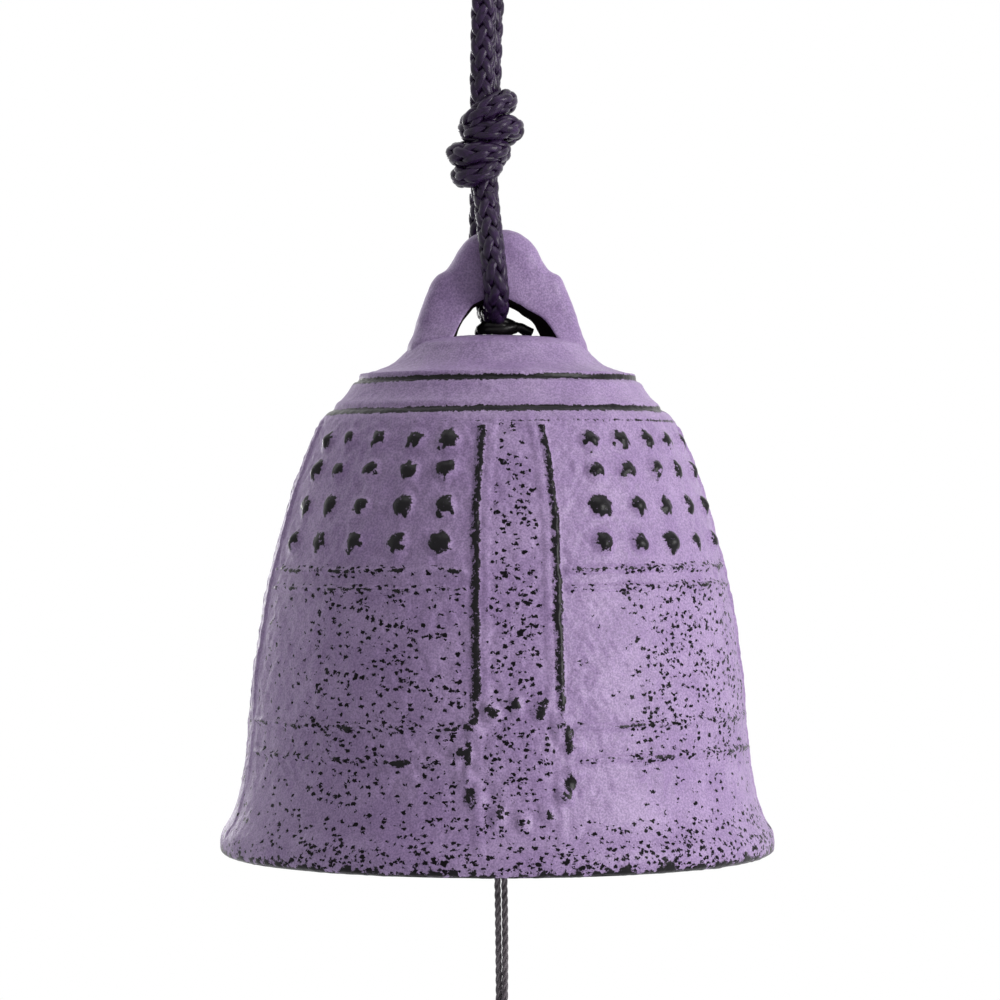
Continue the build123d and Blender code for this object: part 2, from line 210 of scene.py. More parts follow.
def sand_grain(points, size, seed, waves=48):
    """Soft unevenness: a sum of sine waves in seeded random directions, each about size long, which
    varies from about -1 to 1 over the given points."""
    draw = np.random.default_rng(seed)
    way = draw.normal(size=(waves, 3))
    way *= (2 * math.pi / (size * draw.uniform(0.7, 1.5, waves)) / np.linalg.norm(way, axis=1))[:, None]
    phase = draw.uniform(0.0, 2 * math.pi, waves)
    total = np.zeros(len(points))
    for one_way, one_phase in zip(way, phase):
        total += np.sin(points @ one_way + one_phase)
    return total * math.sqrt(2.0 / waves) / 1.5


def bump(distance, half_width, edge):
    """1 within half_width of a line, falling smoothly to 0 over the edge."""
    t = np.clip((half_width + edge - np.abs(distance)) / edge, 0.0, 1.0)
    return t * t * (3 - 2 * t)


def rising(value, start, over):
    """0 up to the start, then rising in a straight line to 1 over the given width."""
    return np.clip((value - start) / over, 0.0, 1.0)


def falling(value, end, over):
    """0 from the end on, and rising in a straight line to 1 over the given width before it."""
    return np.clip((end - value) / over, 0.0, 1.0)


def quad_grid(rows, columns):
    """Row and column of each quad of a grid that closes round, and the numbers of its corners."""
    row, column = np.meshgrid(np.arange(rows - 1), np.arange(columns), indexing="ij")
    after = (column + 1) % columns
    low, high = row * columns, (row + 1) * columns
    quads = np.stack([low + column, low + after, high + after, high + column], axis=-1)
    return row, column, quads.reshape(-1, 4)


def placed(name, mesh):
    """The object of a mesh, smooth shaded, in the scene."""
    mesh.polygons.foreach_set("use_smooth", np.ones(len(mesh.polygons), bool))
    mesh.update()
    made = bpy.data.objects.new(name, mesh)
    scene.collection.objects.link(made)
    return made


def grid_object(name, points, attributes):
    """A mesh of quads over a grid of points (rows along, columns closed round), with one float
    attribute per entry."""
    _, _, quads = quad_grid(*points.shape[:2])
    mesh = bpy.data.meshes.new(name)
    mesh.from_pydata((points.reshape(-1, 3) * mm).tolist(), [], quads.tolist())
    for title, values in attributes.items():
        layer = mesh.attributes.new(title, "FLOAT", "POINT")
        layer.data.foreach_set("value", np.ascontiguousarray(values, dtype=np.float32).ravel())
    return placed(name, mesh)


body_fall = body_top[1] - body_foot[1]
body_widening = body_foot[0] - body_top[0]
body_outline = [
    (body_top[0] + out * body_widening, body_top[1] - down * body_fall) for down, out in body_shares
]
outside_step = 0.235
inside_step = 0.8
crown_to_body = crown_outline + flare_outline + step_outline + shoulder_outline + body_outline
outside = through(crown_to_body + lip_outline, outside_step)
inside = through([lip_outline[-1]] + hollow_outline, inside_step)

wander_size = 5.0
lump_size = 2.2
grain_size = 1.1
ornament_middle = 30.0
ornament_half = 21.2
foot_height = 21.5
band_step = 90.0
rib_aside = [
    (8.0, 5.7), (15.4, 5.6), (17.2, 5.0), (20.0, 4.75), (36.0, 4.6), (42.0, 4.4), (47.0, 3.85), (51.5, 3.15),
]
rib_middle = 29.4
rib_reach = 21.1
rib_half = 0.22
rib_edge = 0.30
rib_rise = 0.30
rib_worn = [(8.0, 0.47), (30.0, 0.48), (40.0, 0.42), (50.0, 0.34)]
rib_hidden = 0.9
border_inset = 1.0
border_half = 0.2
border_edge = 0.65
border_rise = 0.15
border_middle = 27.0
border_reach = 24.0
ring_tilt = 0.22
ridge_heights = (34.05, 31.95, 16.45, 12.8)
ridge_half = 0.14
ridge_edge = 0.34
ridge_rise = 0.30
ridge_worn = 0.02
ridge_flecks = 0.85
boss_heights = (48.8, 45.4, 41.3, 37.1)
boss_columns = ((22.8, 34.9, 47.6, 60.3, 71.3), (23.6, 34.9, 46.2, 57.7, 70.8))
boss_row_turns = (0.2, 0.0, 0.0, -0.9)
boss_reach = 1.75
boss_rise = 0.72
boss_round = 1.8
boss_worn = 1.12
boss_row_worn = (0.86, 0.92, 0.98, 1.08)
boss_uneven = 0.12
panel_flecks = 0.43
panel_top = 33.0
waist_height = 26.0
lip_flecks = 0.60
lip_height = 5.0
rim_flecks = 0.85
rim_fleck_top = 5.6
more_flecks_turn = 316.0
few_flecks_turn = 285.0
back_flecks_turn = 197.0
clear_foot_turn = 315.0
band_flecks = 0.50
band_foot_flecks = 0.20
roundel_place = 12.6
roundel_reach = 6.45
petal_count = 14
petal_start = math.radians(93.0)
petal_long = 1.5
petal_wide = 1.05
petal_rise = 0.40
petal_worn = 0.32
seat_reach = 4.2
seat_rise = 0.14
seat_flecks = 0.46
edge_lines = [(56.25, 0.34, 0.0), (52.55, 0.35, 0.0), (51.1, 0.02, 0.10)]
rim_worn = 0.62
rubbed_through = 0.5
kept_off = 3.0
panel_columns = 720
seam_heights = (43.35, 22.0)


def cast_ornament(outline, turns):
    """Raised ornament of the casting over a grid of outline points and turns about the axis: the
    points pushed out along the surface, with two values at each. Wear is 0.5 on the line where the
    paint goes black, and more inside it: where it is rubbed through, and on two step lines under
    overhangs, which are partly painted shade; speck is how thickly black flecks are scattered."""
    tangent = np.gradient(outline, distances(outline), axis=0)
    normal = np.stack([-tangent[:, 1], tangent[:, 0]], axis=1)
    normal /= np.linalg.norm(normal, axis=1)[:, None]
    radius = outline[:, :1]
    height = outline[:, 1:]
    degree = math.radians(1.0)
    turn = np.degrees(turns)[None, :]
    aside = (turn + band_step / 2) % band_step - band_step / 2
    aside_mm = np.abs(aside) * degree * radius
    flat = revolved(radius, height, turns).reshape(-1, 3)
    shape = (len(outline), len(turns))
    wander = sand_grain(flat, wander_size, 11).reshape(shape)
    lumps = sand_grain(flat, lump_size, 13).reshape(shape)
    grain = sand_grain(flat, grain_size, 12).reshape(shape)
    on_body = bump(height - ornament_middle, ornament_half, 0.5)
    lower = falling(height, foot_height, 5.0)
    tilt = ring_tilt * np.cos(turns)[None, :]
    rise = (0.022 + 0.02 * on_body) * grain + (0.02 + 0.03 * on_body) * lumps + 0.03 * wander
    wear = np.full(shape, -1.0)

    # The ribs beside each band, black on their left flank, but painted on the two side bands
    rib_mm = np.interp(height, *np.array(rib_aside).T)
    rib_line = aside_mm - rib_mm + 0.07 * wander
    rib_run = bump(height - rib_middle, rib_reach, 0.4)
    rise += rib_rise * (1 - 0.5 * lower) * bump(rib_line, rib_half, rib_edge) * rib_run
    border_run = bump(height - border_middle, border_reach, 1.0)
    rise += border_rise * bump(rib_line + border_inset, border_half, border_edge) * border_run
    rib_black = np.interp(height, *np.array(rib_worn).T) - lower * (0.22 - 0.34 * lumps) + 0.08 * lumps
    to_side = rib_hidden * (np.abs((turn + 90.0) % 180.0 - 90.0) < band_step / 2)
    to_left = rib_line * np.where(aside < 0.0, 1.0, -1.0)
    rib_rubbed = np.minimum(0.6 * (rib_black + 0.14 * grain - to_left), 1.3 * (rib_black + to_left))
    rib_wear = np.minimum(rubbed_through + rib_rubbed, 0.71)
    wear = np.maximum(wear, rib_wear - kept_off * (1 - rib_run) - to_side)

    # The ridges across each panel
    in_panel = rising(aside_mm - rib_mm, 0.8, 0.8)
    ridge_speck = np.zeros(shape)
    for ridge in ridge_heights:
        line = height - ridge - tilt + 0.10 * wander
        rise += ridge_rise * bump(line, ridge_half, ridge_edge) * in_panel
        ridge_black = ridge_worn + 0.10 * lumps + 0.14 * wander + 0.10 * grain
        ridge_wear = rubbed_through + 1.1 * (ridge_black - np.abs(line))
        wear = np.maximum(wear, ridge_wear - 2.0 * (1 - in_panel))
        ridge_speck = np.maximum(ridge_speck, ridge_flecks * bump(line, 0.45, 0.35) * in_panel)

    # The bosses, each a little different in size, wear and place
    draw = np.random.default_rng(5)
    for boss_height, row_turn, row_worn in zip(boss_heights, boss_row_turns, boss_row_worn):
        up_line = (height - boss_height) / np.maximum(np.abs(tangent[:, 1:]), 0.3)
        for quarter in range(4):
            for column in boss_columns[quarter % 2]:
                swell, high, slide_a, slide_b = draw.normal(size=4)
                spread = (turn - quarter * band_step - column - row_turn + 180.0) % 360.0 - 180.0
                across = spread * degree * radius + 0.10 * slide_a
                up = up_line + 0.08 * slide_b
                mound = np.clip(1 - (np.hypot(across, up) / boss_reach) ** 2, 0.0, 1.0)
                rise += on_body * boss_rise * (1 + boss_uneven * high) * mound**boss_round
                ragged = 0.14 * lumps + (0.16 + 0.22 * falling(up, 0.3, 1.0)) * grain
                worn_reach = boss_worn * row_worn * (1 + boss_uneven * swell)
                rubbed = worn_reach + ragged - np.hypot(across * 1.08, up - 0.12)
                boss_wear = np.minimum(rubbed_through + 0.85 * rubbed, 0.74)
                wear = np.maximum(wear, boss_wear - kept_off * (1 - on_body))

    # How thickly flecks lie: on the lower panels, the lip and the rim, less on some sides, and in the bands
    waist = bump(height - waist_height, 5.0, 4.0)
    speck = (panel_flecks + 0.07 * waist) * falling(height, panel_top, 2.0) + 0.008 * on_body
    speck = np.maximum(speck, lip_flecks * bump(height - lip_height + 0.3 * wander, 0.5, 0.9))
    speck = np.maximum(speck, rim_flecks * falling(height, rim_fleck_top, 3.0))
    clear = np.maximum(rising(np.abs(aside_mm - rib_mm), 0.9, 0.8), falling(height, 8.5, 1.5))
    side_share = 1 + 0.14 * bump(turn - more_flecks_turn, 18.0, 6.0)
    side_share = side_share - 0.65 * bump(turn - few_flecks_turn, 9.0, 5.0) * rising(height, lip_height, 3.0)
    side_share = side_share - 0.45 * bump(turn - back_flecks_turn, 14.0, 12.0)
    clear_foot = bump(height - 9.0, 2.0, 1.5)
    side_share = side_share - 0.50 * clear_foot * bump(turn - clear_foot_turn, 35.0, 10.0)
    speck = np.maximum(speck * clear, ridge_speck) * side_share
    in_band = falling(aside_mm, rib_mm - 1.3, 1.0)
    band_speck = in_band * (band_flecks + band_foot_flecks * falling(height, 47.5, 4.0))
    speck = np.maximum(speck, band_speck * on_body)

    # A roundel of petals at the foot of the front and the back band
    petal_turn = 2 * math.pi / petal_count
    for front in (-90.0, 90.0):
        spread = (turn - front + 180.0) % 360.0 - 180.0
        across = spread * degree * radius
        up = height - roundel_place
        reach = np.hypot(across, up)
        off = (np.arctan2(up, across) - petal_start + petal_turn / 2) % petal_turn - petal_turn / 2
        from_ring = reach - roundel_reach
        petal = np.hypot(from_ring / petal_long, reach * off / petal_wide)
        rise += petal_rise * np.clip(1 - petal**2, 0.0, 1.0)
        petal_black = petal_worn + 0.22 * wander + 0.30 * lumps - np.hypot(from_ring * 0.62, reach * off)
        wear = np.maximum(wear, np.minimum(rubbed_through + 0.8 * petal_black, 0.70))
        rise += seat_rise * bump(reach, seat_reach - 0.7, 1.0)
        speck = np.maximum(speck, seat_flecks * bump(reach, seat_reach - 0.6, 1.0))

    # Black lines round the crown and the shoulder, and the rim's edge
    # The two upper lines lie on the step faces under the crown's flare and the shoulder: black paint, and
    # partly painted shade of the overhangs.
    for edge, half, to_right in edge_lines:
        line = np.abs(height - edge - tilt + 0.05 * wander)
        edge_half = half + to_right * np.cos(turns) + 0.04 * lumps
        wear = np.maximum(wear, rubbed_through + 1.6 * (edge_half - line))
    wear = np.maximum(wear, rubbed_through + 0.55 * (rim_worn + 0.42 * lumps + 0.35 * grain - height))
    push_z = height + rise * normal[:, 1:] + rim_height
    return revolved(radius + rise * normal[:, :1], push_z, turns), {"wear": wear, "speck": speck}


seam_rows = [int(np.argmin(np.abs(outside[:, 1] - seam))) for seam in seam_heights]
bell_names = ("bell_shoulder", "bell_waist", "bell_skirt")
bell_pieces = [
    grid_object(name, *cast_ornament(outside[first : last + 1], whole_turn(panel_columns)))
    for name, first, last in zip(bell_names, [0] + seam_rows, seam_rows + [len(outside) - 1])
]


def painted_iron():
    """Purple paint over black cast iron: the paint is mottled, goes black where the wear attribute is
    high and in scattered specks where the speck attribute is, and the whole has a sandy grain."""
    made, tree, shader = new_finish("painted_iron")
    place = add_node(tree, "TexCoord", {}).outputs["Object"]

    def noise(scale, detail, rough):
        sockets = {"Vector": place, "Scale": scale, "Detail": detail, "Roughness": rough}
        return add_node(tree, "TexNoise", sockets).outputs["Fac"]

    def attribute(title):
        return add_node(tree, "Attribute", {}, attribute_name=title).outputs["Fac"]

    def combine(operation, first, second):
        return add_node(tree, "Math", {0: first, 1: second}, operation=operation).outputs[0]

    def smooth(value, low, high):
        sockets = {"Value": value, "From Min": low, "From Max": high}
        return add_node(tree, "MapRange", sockets, interpolation_type="SMOOTHSTEP").outputs["Result"]

    def between(share, first, second):
        sockets = {"Value": share, "To Min": first, "To Max": second}
        return add_node(tree, "MapRange", sockets).outputs["Result"]

    def blend(share, first, second, way="MIX"):
        sockets = {"Factor": share, 6: first, 7: second}
        return add_node(tree, "Mix", sockets, data_type="RGBA", blend_type=way).outputs[2]

    flattened = add_node(tree, "VectorMath", {0: place, 1: (1.0, 1.0, 1.45)}, operation="MULTIPLY")

    def chips(cell, largest, chance_share):
        shove = add_node(tree, "TexNoise", {"Vector": place, "Scale": 2.1 / cell, "Detail": 2.0})
        shoved = {0: shove.outputs["Color"], 1: (1.3 * cell,) * 3, 2: flattened.outputs["Vector"]}
        ragged_place = add_node(tree, "VectorMath", shoved, operation="MULTIPLY_ADD").outputs["Vector"]
        cells = add_node(tree, "TexVoronoi", {"Vector": ragged_place, "Scale": 1.0 / cell})
        chance = add_node(tree, "SeparateColor", {"Color": cells.outputs["Color"]}).outputs[0]
        wanted = combine("MULTIPLY", thickness, chance_share)
        share = combine("ADD", combine("SUBTRACT", chance, 1.0), wanted)
        reach = combine("MINIMUM", combine("MULTIPLY", share, 2.2), largest)
        return smooth(combine("SUBTRACT", reach, cells.outputs["Distance"]), -0.03, 0.04)

    deep_purple, pale_purple = (0.258, 0.176, 0.338, 1), (0.314, 0.226, 0.396, 1)
    grain_shade, grain_light = (0.75, 0.74, 0.75, 1), (1.23, 1.23, 1.22, 1)
    bare_black = (0.0045, 0.0035, 0.005, 1)
    mottle = blend(smooth(noise(190.0, 4.0, 0.6), 0.34, 0.68), deep_purple, pale_purple)
    grain = blend(smooth(noise(4400.0, 3.0, 0.7), 0.36, 0.66), grain_shade, grain_light)
    paint = blend(1.0, mottle, grain, "MULTIPLY")
    ragged = combine("MULTIPLY", combine("SUBTRACT", noise(2000.0, 4.0, 0.75), 0.5), 1.35)
    rubbed = smooth(combine("ADD", attribute("wear"), ragged), 0.47, 0.56)
    patches = combine("MULTIPLY", combine("SUBTRACT", noise(130.0, 2.0, 0.5), 0.5), 1.2)
    thickness = combine("MULTIPLY", attribute("speck"), combine("ADD", patches, 1.0))
    flecks = combine("MAXIMUM", chips(0.00076, 0.44, 1.0), chips(0.0015, 0.28, 0.35))
    black = combine("MAXIMUM", rubbed, flecks)
    specular = combine("ADD", between(black, 0.29, 0.05), combine("MULTIPLY", rubbed, 0.09))
    thick = combine("SUBTRACT", 1.0, combine("MULTIPLY", black, 0.6))
    fine_sand = combine("MULTIPLY", noise(2200.0, 3.0, 0.6), 0.42)
    sandy = combine("ADD", fine_sand, combine("MULTIPLY", noise(900.0, 2.0, 0.5), 0.22))
    height = combine("ADD", sandy, combine("MULTIPLY", thick, 0.35))
    relief = add_node(tree, "Bump", {"Height": height, "Strength": 0.55, "Distance": 0.00022})
    fill_node(tree, shader, {
        "Base Color": blend(black, paint, bare_black),
        "Roughness": between(black, 0.46, 0.30),
        "Specular IOR Level": specular,
        "Normal": relief.outputs["Normal"],
    })
    return made


bell_paint = painted_iron()
for bell_piece in bell_pieces:
    bell_piece.data.materials.append(bell_paint)
    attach(bell_piece, "bell")
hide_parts("bell_casting")

# Hollow of the bell: the bare inside of the same casting, black iron with a coarse grain from the
# mould's core. It runs from the rim's underside up to the hole in the crown.
hollow_columns = 240
hollow_least_radius = 3.0
hollow_turns = whole_turn(hollow_columns)
crown_throat = np.array([(2.2, 55.5), (1.2, 56.6), (1.2, 58.3), (2.45, 59.75), (2.45, 61.4), (2.2, 61.66)])
hollow_flat = revolved(inside[:, :1], inside[:, 1:], hollow_turns).reshape(-1, 3)
hollow_grain = 0.05 * sand_grain(hollow_flat, 2.4, 21) + 0.05 * sand_grain(hollow_flat, 7.0, 22)
hollow_radius = np.maximum(np.hypot(hollow_flat[:, 0], hollow_flat[:, 1]), hollow_least_radius)
hollow_points = hollow_flat.copy()
hollow_points[:, :2] *= (1.0 + hollow_grain / hollow_radius)[:, None]
hollow_points[:, 2] += rim_height
throat_points = revolved(crown_throat[:, :1], crown_throat[:, 1:] + rim_height, hollow_turns)
hollow_grid = np.concatenate([hollow_points.reshape(len(inside), -1, 3), throat_points[1:]], axis=0)
bell_hollow = grid_object("bell_hollow", hollow_grid, {})


def two_tone(tree, share, low, dark, high, light):
    """A colour that goes from dark to light as a share goes from low to high."""
    ramp = add_node(tree, "ValToRGB", {"Fac": share})
    for stop, position, colour in zip(ramp.color_ramp.elements, (low, high), (dark, light)):
        stop.position = position
        stop.color = (*colour, 1)
    return ramp.outputs["Color"]


def black_iron(name, colour, grain_metres, specular):
    """Bare black cast iron: dull, slightly brown in patches, with a grain of the given size."""
    made, tree, shader = new_finish(name)
    place = add_node(tree, "TexCoord", {}).outputs["Object"]
    patches = add_node(tree, "TexNoise", {"Vector": place, "Scale": 0.25 / grain_metres, "Detail": 5.0})
    brown = (colour[0] * 2.2, colour[1] * 1.8, colour[2] * 1.6)
    grain = add_node(tree, "TexNoise", {"Vector": place, "Scale": 1.0 / grain_metres, "Detail": 4.0})
    uneven = {"Height": grain.outputs["Fac"], "Strength": 0.7, "Distance": 0.3 * grain_metres}
    fill_node(tree, shader, {
        "Base Color": two_tone(tree, patches.outputs["Fac"], 0.35, colour, 0.72, brown),
        "Roughness": 0.62,
        "Specular IOR Level": specular,
        "Normal": add_node(tree, "Bump", uneven).outputs["Normal"],
    })
    return made


bell_hollow.data.materials.append(black_iron("core_iron", (0.020, 0.017, 0.018), 0.0009, 0.4))
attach(bell_hollow, "bell")

# Ear: the arch on the crown that the cord goes through, cast in one with the bell. It is a thick
# plate with rounded edges, a broad foot on each side, and a small shoulder below its round head.
ear_middle = 63.0
ear_outer = [
    (-30.0, 12.3), (-20.0, 11.5), (-13.3, 10.85), (-8.0, 10.15), (3.0, 9.52), (15.2, 9.17), (28.0, 9.17),
    (34.7, 9.28), (39.0, 9.22), (42.5, 9.0), (46.0, 8.86), (53.1, 9.05), (58.6, 9.55), (64.2, 10.1),
    (70.9, 10.68), (80.2, 11.1), (90.0, 11.18),
]
window_left = [(-30.0, 6.6), (-16.0, 5.41), (10.4, 3.92), (33.2, 3.45), (60.0, 2.85), (90.0, 2.5)]
window_right = [
    (-30.0, 7.9), (-11.8, 6.33), (4.6, 4.99), (22.4, 3.45), (41.0, 2.85), (58.5, 2.58), (90.0, 2.5),
]
ear_depth = [
    (-30.0, 5.6), (-20.0, 5.6), (-13.3, 5.3), (-8.0, 4.7), (-2.0, 4.2), (5.0, 3.9), (18.0, 3.65),
    (45.0, 3.5), (90.0, 3.5),
]
ear_bulge = 0.12
ear_thinning = 0.40
ear_half_width = 10.0
window_taper = 0.90
window_worn = -0.93
window_bare = -0.86
outer_power = 0.50
inner_power = 0.28
ear_rows = 260
section_columns = 180
ear_angles = np.linspace(-30.0, 210.0, ear_rows)
ear_mirror = np.where(ear_angles > 90.0, 180.0 - ear_angles, ear_angles)
section_turns = whole_turn(section_columns)


def eased(table, at):
    """Values of a listed table at given angles, joined by the smooth line of through()."""
    line = through(table, 0.05)
    return np.interp(at, line[:, 0], line[:, 1])


def squared(value, power):
    """A sine or cosine pushed towards 1 and -1 by a power below 1, which squares off a round section."""
    return np.sign(value) * np.abs(value) ** power


outer_reach = eased(ear_outer, ear_mirror)
inner_reach = np.where(ear_angles > 90.0, eased(window_left, ear_mirror), eased(window_right, ear_mirror))
half_depth = eased(ear_depth, ear_mirror)
section_power = np.where(np.cos(section_turns) > 0, outer_power, inner_power)
section_out = squared(np.cos(section_turns), section_power)
section_deep = squared(np.sin(section_turns), section_power)
ear_radians = np.radians(ear_angles)[:, None]
to_back = window_taper * falling(ear_angles, 28.0, 34.0)[:, None]
window_edge = inner_reach[:, None] - to_back * (1 + section_deep) / 2
outer_edge = outer_reach[:, None]
ear_reach = (outer_edge + window_edge) / 2 + (outer_edge - window_edge) / 2 * section_out
ear_aside = ear_reach * np.cos(ear_radians)
ear_fullness = 1 + ear_bulge - ear_thinning * (ear_aside / ear_half_width) ** 2
ear_deep = half_depth[:, None] * section_deep * ear_fullness
ear_points = np.stack([ear_aside, ear_deep, ear_middle + ear_reach * np.sin(ear_radians)], axis=-1)
ear_list = ear_points.reshape(-1, 3)
ear_grain = 0.05 * sand_grain(ear_list, 5.0, 31) + 0.025 * sand_grain(ear_list, 1.8, 32)
ear_grain = ear_grain.reshape(ear_aside.shape)
ear_points[..., 1] += ear_grain * section_deep
ear_points[..., 0] += ear_grain * section_out * np.cos(ear_radians)
ear_points[..., 2] += ear_grain * section_out * np.sin(ear_radians) + rim_height
ear_wear = rubbed_through + 1.3 * (window_worn - section_out)[::-1] * (outer_reach - inner_reach)[:, None]
ear_values = {"wear": np.clip(ear_wear, -1.0, 1.0), "speck": np.zeros(ear_aside.shape)}
bell_ear = grid_object("bell_ear", ear_points[:, ::-1], ear_values)
bell_ear.data.materials.append(bell_paint)
bell_ear.data.materials.append(black_iron("window_iron", (0.008, 0.007, 0.007), 0.0008, 0.0))
in_window = (section_out[::-1] < window_bare) & (np.roll(section_out[::-1], -1) < window_bare)
ear_materials = np.tile(in_window.astype(np.int32), ear_rows - 1)
bell_ear.data.polygons.foreach_set("material_index", ear_materials)
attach(bell_ear, "bell")

# Hanging cord: a thick dark purple cord, braided round from eight strands of bright filament. It is
# doubled: the loop goes up over the hook, and the sling goes down through the ear's window.
braid_pairs = 4
braid_leaf = 2.6
braid_ease = 0.6
braid_step = 0.13
braid_middle = 1.03
braid_weave = 0.17
strand_wide = 0.58
strand_thick = 0.38
core_radius = 0.86
core_sides = 12
strand_sides = 10
hanging_loop_route = [
    (-1.9, -1.68, -32.3), (-1.7, -1.7, -21.0), (-1.6, -5.6, -8.0), (-1.0, -3.9, 1.6),
    (1.0, 3.9, 1.6), (1.2, 5.6, -8.0), (-0.7, 1.7, -21.0), (-0.9, 1.68, -32.3),
]
bell_sling_route = [
    (-1.55, -2.05, -45.72), (-1.1, -6.7, -53.4), (-0.35, -5.05, -58.65), (-0.5, 0.0, -60.75),
    (-0.9, 5.1, -58.65), (-1.5, 6.8, -53.4), (-1.65, 2.05, -45.72),
]


def cord_line(name, route):
    """Points along the smooth NURBS line that has the route's points as its control points."""
    curve = bpy.data.curves.new(name, "CURVE")
    curve.dimensions = "3D"
    curve.resolution_u = 40
    spline = curve.splines.new("NURBS")
    spline.points.add(len(route) - 1)
    for point, place in zip(spline.points, route):
        point.co = (place[0] * mm, place[1] * mm, place[2] * mm, 1.0)
    spline.order_u = 3
    spline.use_endpoint_u = True
    holder = bpy.data.objects.new(name, curve)
    line_mesh = bpy.data.meshes.new_from_object(holder)
    line = np.zeros(len(line_mesh.vertices) * 3)
    line_mesh.vertices.foreach_get("co", line)
    bpy.data.objects.remove(holder)
    bpy.data.curves.remove(curve)
    bpy.data.meshes.remove(line_mesh)
    return line.reshape(-1, 3) / mm


def carried_frame(line, first_side=None):
    """Two normals carried along a line without twisting, from the first side if one is given."""
    tangent = np.gradient(line, axis=0)
    tangent /= np.linalg.norm(tangent, axis=1)[:, None]
    side = np.zeros_like(line)
    start = np.cross(tangent[0], (0.31, 0.92, 0.23))
    if first_side is not None:
        start = first_side - tangent[0] * (first_side @ tangent[0])
    side[0] = start / np.linalg.norm(start)
    for i in range(1, len(line)):
        kept = side[i - 1] - tangent[i] * (side[i - 1] @ tangent[i])
        side[i] = kept / np.linalg.norm(kept)
    return side, np.cross(tangent, side)


def tube_rows(centre, across, out, half_across, half_out, sides):
    """Rings of an oval tube: centre plus an ellipse in the across and out directions at each step."""
    turn = whole_turn(sides)[None, :, None]
    return (
        centre[:, None]
        + across[:, None] * (np.reshape(half_across, (-1, 1, 1)) * np.cos(turn))
        + out[:, None] * (np.reshape(half_out, (-1, 1, 1)) * np.sin(turn))
    )


def tubes_object(name, tubes):
    """One mesh of several tubes, each given as its rings of points, with closed ends and a UV map that
    runs round each tube and along it."""
    points, quads, caps, along_uv = [], [], [], []
    start = 0
    for rings in tubes:
        rows, sides = rings.shape[:2]
        row, side, faces = quad_grid(rows, sides)
        far = distances(rings.mean(axis=1))
        u = np.stack([side, side + 1, side + 1, side], axis=-1).reshape(-1, 4) / sides
        v = far[np.stack([row, row, row + 1, row + 1], axis=-1).reshape(-1, 4)]
        along_uv.append(np.stack([u, v], axis=-1).reshape(-1, 2))
        quads.append(faces + start)
        caps.append(list(range(start + sides - 1, start - 1, -1)))
        caps.append(list(range(start + (rows - 1) * sides, start + rows * sides)))
        points.append(rings.reshape(-1, 3))
        start += rows * sides
    mesh = bpy.data.meshes.new(name)
    mesh.from_pydata((np.concatenate(points) * mm).tolist(), [], np.concatenate(quads).tolist() + caps)
    uv_values = np.zeros((len(mesh.loops), 2))
    along_uv = np.concatenate(along_uv)
    uv_values[: len(along_uv)] = along_uv
    mesh.uv_layers.new(name="UVMap").data.foreach_set("uv", uv_values.ravel())
    return placed(name, mesh)


def braided(line, tight=1.0, begun=0.0, first_side=None):
    """The tubes of a round braid along a line: strands wind both ways round it, and each goes over and
    under those of the other hand as the cosine of its turn about the cord, round a plain core. A strand
    turns slower by a sine where it lies on top, so that its leaf runs along the cord. Tight is the
    share of the cord's full thickness that is left where it is pulled into a knot. Begun and the first
    side carry on the braid of another stretch: how far along that one is, and its side there."""
    centre, far = even_steps(line, braid_step)
    far = far + begun
    side, up = carried_frame(centre, first_side)
    tubes = [tube_rows(centre, side, up, core_radius * tight, core_radius * tight, core_sides)]
    pace = 2 * math.pi / (braid_pairs * braid_leaf)
    for hand in (1.0, -1.0):
        for k in range(braid_pairs):
            even_turn = hand * pace * far + 2 * math.pi * k / braid_pairs
            turn = even_turn - hand * braid_ease * np.sin(braid_pairs * even_turn) / braid_pairs
            reach = tight * (braid_middle + hand * braid_weave * np.cos(braid_pairs * turn))
            out = side * np.cos(turn)[:, None] + up * np.sin(turn)[:, None]
            strand = centre + out * reach[:, None]
            way = np.gradient(strand, axis=0)
            way /= np.linalg.norm(way, axis=1)[:, None]
            across = np.cross(way, out)
            across /= np.linalg.norm(across, axis=1)[:, None]
            flat_side = np.cross(way, across)
            tubes.append(tube_rows(strand, across, flat_side, strand_wide, strand_thick, strand_sides))
    return tubes


def cord_fibre(name, dark, light, sheen, specular, stripes):
    """Bright filament: fine lines along each strand from the UV map, lighter on some of them, with a
    soft sheen, and darker at random along the cord."""
    made, tree, shader = new_finish(name)
    place = add_node(tree, "TexCoord", {}).outputs
    stretch = add_node(tree, "Mapping", {"Vector": place["UV"], "Scale": (stripes, 1.2, 1.0)})
    filament = {"Vector": stretch.outputs["Vector"], "Scale": 1.0, "Detail": 3.0, "Roughness": 0.6}
    lines = add_node(tree, "TexNoise", filament).outputs["Fac"]
    clumps = add_node(tree, "TexNoise", {"Vector": place["Object"], "Scale": 420.0}).outputs["Fac"]
    total = add_node(tree, "Math", {0: clumps, 1: 0.5, 2: lines}, operation="MULTIPLY_ADD")
    relief = add_node(tree, "Bump", {"Height": lines, "Strength": 0.5, "Distance": 0.00012})
    fill_node(tree, shader, {
        "Base Color": two_tone(tree, total.outputs[0], 0.50, dark, 1.0, light),
        "Roughness": 0.30,
        "Specular IOR Level": specular,
        "Sheen Weight": sheen,
        "Sheen Roughness": 0.4,
        "Sheen Tint": (0.80, 0.72, 0.90, 1),
        "Normal": relief.outputs["Normal"],
    })
    return made


thick_fibre = cord_fibre("purple_braid", (0.003, 0.001, 0.006), (0.036, 0.015, 0.060), 0.0, 0.20, 9.0)
loop_line = cord_line("loop_line", hanging_loop_route)
hanging_loop = tubes_object("hanging_loop_braid", braided(loop_line))
hanging_loop.data.materials.append(thick_fibre)
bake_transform(hanging_loop)
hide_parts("hanging_loop")

